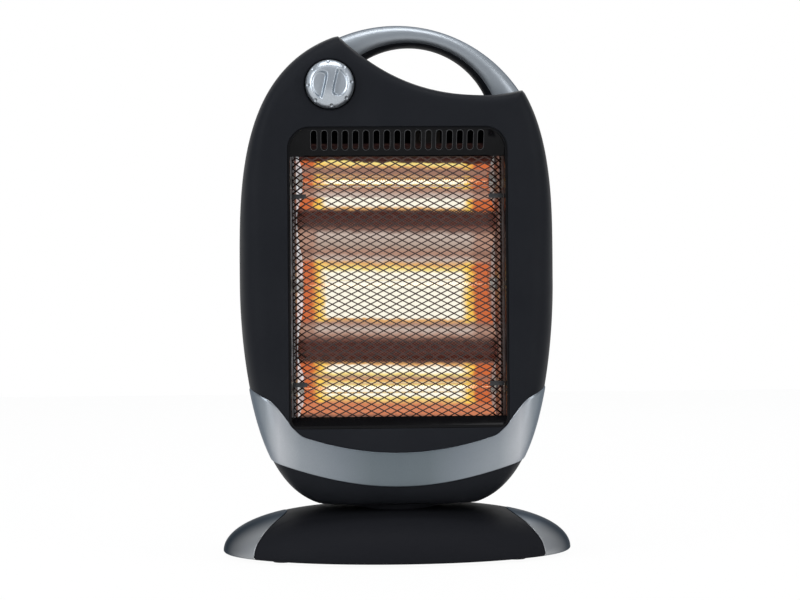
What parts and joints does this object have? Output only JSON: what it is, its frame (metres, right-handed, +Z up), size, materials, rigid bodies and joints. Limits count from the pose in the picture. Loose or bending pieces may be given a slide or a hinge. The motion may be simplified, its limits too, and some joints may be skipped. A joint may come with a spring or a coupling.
{
  "type": "halogen heater",
  "caption": "Oscillating halogen heater: tall oval head with lamps behind a mesh guard, arched handle and knob, on a domed oval base.",
  "frame": {"origin": "on the floor under the middle of the base", "axes": "+Z up, the lamps face -Y, +X to the right of someone looking at the lit window"},
  "size_m": [0.322, 0.204, 0.4894],
  "materials": {
    "black_plastic": "satin black moulded plastic",
    "window_black": "glossy black",
    "silver_paint": "satin silver",
    "dark_silver_paint": "satin dark silver",
    "guard_black": "black enamelled steel",
    "mirror": "polished",
    "steel": "zinc plated",
    "dark_steel": "painted sheet",
    "quartz": "clear quartz",
    "filament": "glowing tungsten",
    "ceramic": "white steatite",
    "rubber": "black rubber",
    "nylon": "natural nylon",
    "switch_plastic": "black",
    "wire": "silicone sleeved wire"
  },
  "bodies": {
    "base": {"base_cover": "black_plastic", "base_end_cap_left": "dark_silver_paint", "base_end_cap_right": "dark_silver_paint", "base_plate": "dark_steel", "rubber_feet": "rubber", "base_screws": "steel", "turntable_ring": "black_plastic", "glide_ring": "nylon", "swivel_post": "steel", "retaining_washer": "steel", "swing_plate": "steel", "retaining_nut": "steel", "tip_switch_body": "switch_plastic", "tip_spring": "steel", "cord_gland": "rubber", "terminal_block": "ceramic", "base_wiring": "wire"},
    "head": {"front_housing": "black_plastic", "rear_housing": "black_plastic", "trim_band": "silver_paint", "window_frame": "window_black", "grille": "guard_black", "grille_clips": "guard_black", "reflector": "mirror", "reflector_side_left": "mirror", "reflector_side_right": "mirror", "heat_shield": "steel", "lamp_bracket_left": "steel", "lamp_bracket_right": "steel", "bracket_screws": "steel", "lamp_tube_upper": "quartz", "lamp_tube_middle": "quartz", "lamp_tube_lower": "quartz", "filament_upper": "filament", "filament_middle": "filament", "filament_lower": "filament", "lamp_end_caps": "ceramic", "lamp_clips": "steel", "thermal_cutout": "switch_plastic", "rotary_switch": "switch_plastic", "head_wiring": "wire", "handle": "silver_paint", "handle_underside": "black_plastic", "handle_screws": "steel", "housing_screws": "steel", "neck_flange": "steel", "neck_bush": "nylon", "neck_screws": "steel", "motor_bracket": "steel", "swing_motor": "steel", "motor_screws": "steel"},
    "knob": {"switch_shaft": "steel", "knob": "silver_paint"},
    "crank": {"motor_shaft": "steel", "swing_crank": "switch_plastic"},
    "plunger": {"tip_plunger": "nylon"}
  },
  "joints": [
    {"name": "head_swing", "type": "hinge", "parent": "base", "child": "head", "pos_m": [0, 0, 0.0505], "axis": [0, 0, 1], "range_deg": [-35, 35]},
    {"name": "crank_turn", "type": "hinge", "parent": "head", "child": "crank", "pos_m": [0, 0.024, 0.072], "axis": [0, 0, 1], "range_deg": [-110, 110]},
    {"name": "knob_turn", "type": "hinge", "parent": "head", "child": "knob", "pos_m": [-0.06, -0.069, 0.4275], "axis": [0, 1, 0], "range_deg": [0, 315]},
    {"name": "tip_plunger_slide", "type": "slide", "parent": "base", "child": "plunger", "axis": [0, 0, 1], "range_m": [-0.004, 0.001], "stiffness_N_per_m": 120, "springref_m": -0.004, "deforming": ["tip_spring"]}
  ],
  "couplings": [
    {"joint": "crank_turn", "follows": "head_swing", "ratio": -3.1}
  ]
}
